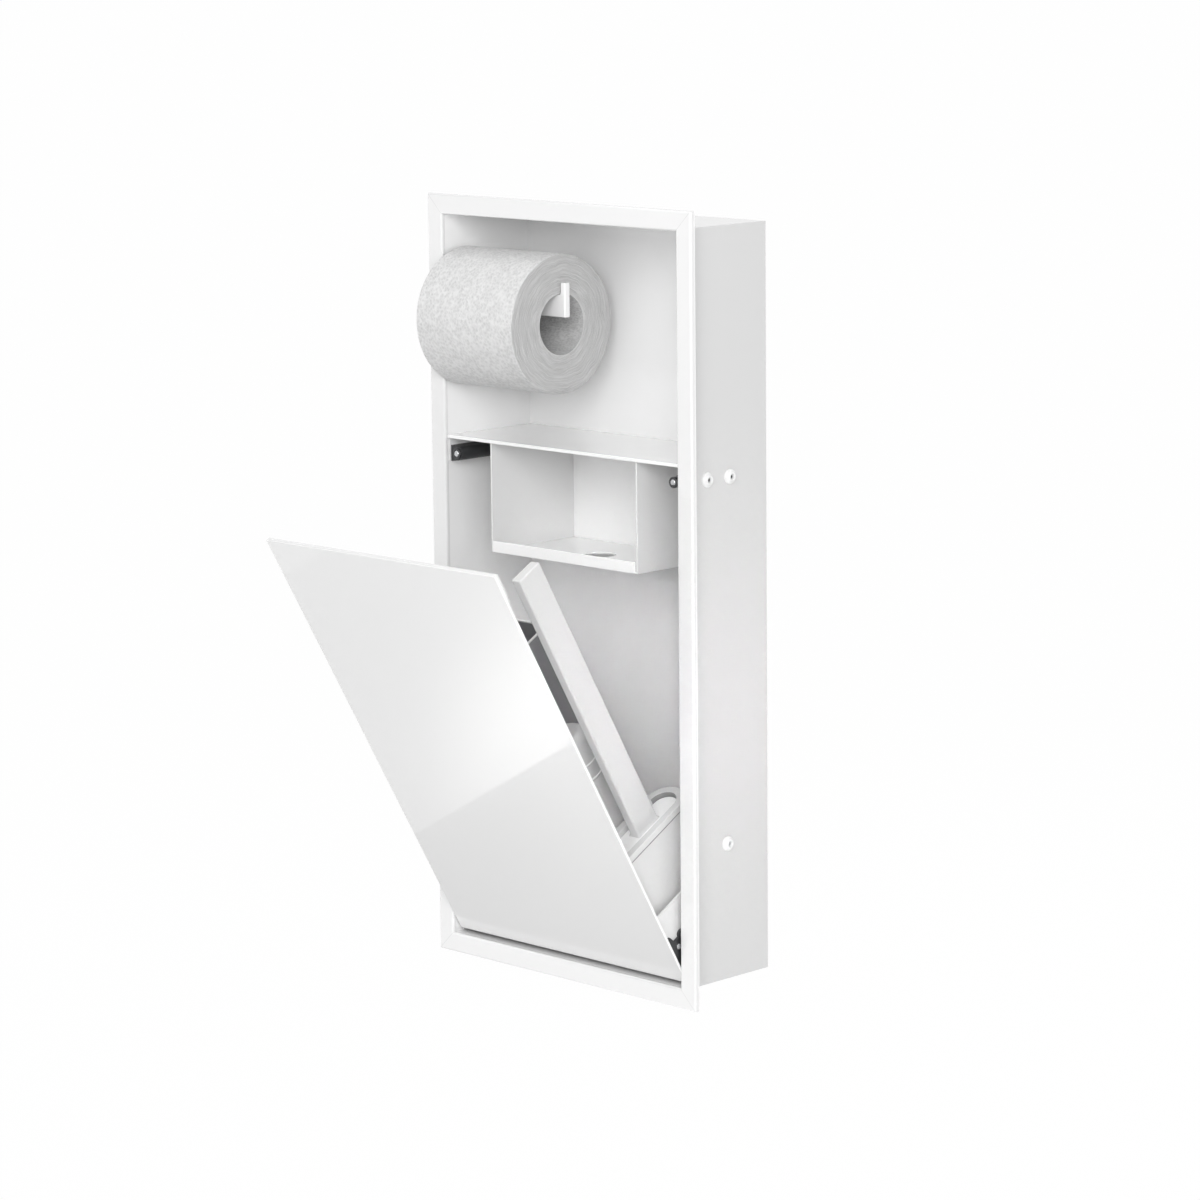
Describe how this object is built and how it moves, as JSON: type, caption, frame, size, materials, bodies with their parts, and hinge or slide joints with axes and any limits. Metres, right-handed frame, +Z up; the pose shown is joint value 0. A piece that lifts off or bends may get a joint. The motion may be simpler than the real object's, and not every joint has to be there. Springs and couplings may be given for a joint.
{
  "type": "recessed bathroom niche",
  "caption": "Recessed bathroom niche in white lacquered steel, with a paper holder, a tissue compartment and a tilting door that carries a bin, a canister and a brush in its pot",
  "frame": {"origin": "middle of the opening, in the plane of the finished wall", "axes": "+X right, +Y into the wall, +Z up"},
  "size_m": [0.28, 0.2806, 0.6],
  "materials": {
    "white_lacquer_box": "gloss powder coat",
    "white_lacquer_trim": "gloss lacquer",
    "white_lacquer_sheet": "gloss powder coat",
    "white_lacquer_door": "high gloss lacquer",
    "bright_steel": "plain bright steel",
    "spring_steel": "drawn wire",
    "dark_latch_plastic": "fine matt moulding",
    "black_hinge_lacquer": "semi gloss black",
    "white_latch_plastic": "moulded white",
    "dark_bin_plastic": "fine matt moulding",
    "white_gloss_plastic": "polished moulding",
    "white_bristle": "nylon filament",
    "tissue_paper": "soft embossed tissue",
    "grey_cardboard": "plain board"
  },
  "bodies": {
    "niche": {"niche_box": "white_lacquer_box", "wall_bosses": "white_lacquer_box", "trim_frame": "white_lacquer_trim", "shelf": "white_lacquer_sheet", "compartment_left_wall": "white_lacquer_sheet", "compartment_right_wall": "white_lacquer_sheet", "compartment_floor": "white_lacquer_sheet", "roll_plate": "white_lacquer_sheet", "roll_arm": "white_lacquer_sheet", "roll_screws": "bright_steel", "latch_plate_left": "white_latch_plastic", "latch_plate_right": "white_latch_plastic", "latch_body_left": "dark_latch_plastic", "latch_body_right": "dark_latch_plastic", "latch_screws": "bright_steel", "stop_peg_left": "bright_steel", "stop_peg_right": "bright_steel", "hinge_bracket_left": "black_hinge_lacquer", "hinge_bracket_right": "black_hinge_lacquer", "hinge_pin_left": "bright_steel", "hinge_pin_right": "bright_steel", "bracket_rivets": "bright_steel", "latch_spring_left": "spring_steel", "latch_spring_right": "spring_steel"},
    "door": {"door_panel": "white_lacquer_door", "catch_strip": "white_lacquer_door", "holder_tray": "white_lacquer_door", "hinge_arm_left": "black_hinge_lacquer", "hinge_arm_right": "black_hinge_lacquer", "arm_rivets": "bright_steel"},
    "bin_body": {"bin": "dark_bin_plastic", "bin_rim": "white_gloss_plastic"},
    "canister_body": {"canister": "white_gloss_plastic"},
    "cap_body": {"canister_cap": "white_gloss_plastic"},
    "pot_body": {"brush_pot": "white_gloss_plastic", "pot_collar": "white_gloss_plastic"},
    "brush_body": {"pot_lid": "white_gloss_plastic", "brush_handle": "white_gloss_plastic", "brush_stem": "white_gloss_plastic", "brush_head": "white_gloss_plastic", "brush_bristles": "white_bristle"},
    "left_plunger": {"plunger_left": "dark_latch_plastic", "plunger_tip_left": "bright_steel"},
    "right_plunger": {"plunger_right": "dark_latch_plastic", "plunger_tip_right": "bright_steel"},
    "roll_body": {"paper_roll": "tissue_paper", "roll_core": "grey_cardboard"}
  },
  "joints": [
    {"name": "door_tilt", "type": "hinge", "parent": "niche", "child": "door", "pos_m": [0, 0.0056, -0.2656], "axis": [1, 0, 0], "range_deg": [-30, 0]},
    {"name": "bin_lift", "type": "slide", "parent": "door", "child": "bin_body", "axis": [0, -0.5, 0.866], "range_m": [0, 0.07]},
    {"name": "canister_lift", "type": "slide", "parent": "door", "child": "canister_body", "axis": [0, -0.5, 0.866], "range_m": [0, 0.07]},
    {"name": "pot_lift", "type": "slide", "parent": "door", "child": "pot_body", "axis": [0, -0.5, 0.866], "range_m": [0, 0.07]},
    {"name": "cap_lift", "type": "slide", "parent": "canister_body", "child": "cap_body", "axis": [0, -0.5, 0.866], "range_m": [0, 0.04]},
    {"name": "brush_lift", "type": "slide", "parent": "pot_body", "child": "brush_body", "axis": [0, -0.5, 0.866], "range_m": [0, 0.12]},
    {"name": "latch_push_left", "type": "slide", "parent": "niche", "child": "left_plunger", "axis": [0, 1, 0], "range_m": [0, 0.003], "stiffness_N_per_m": 200, "springref_m": -0.002, "deforming": ["latch_spring_left"]},
    {"name": "latch_push_right", "type": "slide", "parent": "niche", "child": "right_plunger", "axis": [0, 1, 0], "range_m": [0, 0.003], "stiffness_N_per_m": 200, "springref_m": -0.002, "deforming": ["latch_spring_right"]},
    {"name": "roll_spin", "type": "hinge", "parent": "niche", "child": "roll_body", "pos_m": [0, 0.0178, 0.20478], "axis": [1, 0, 0], "continuous": true}
  ]
}
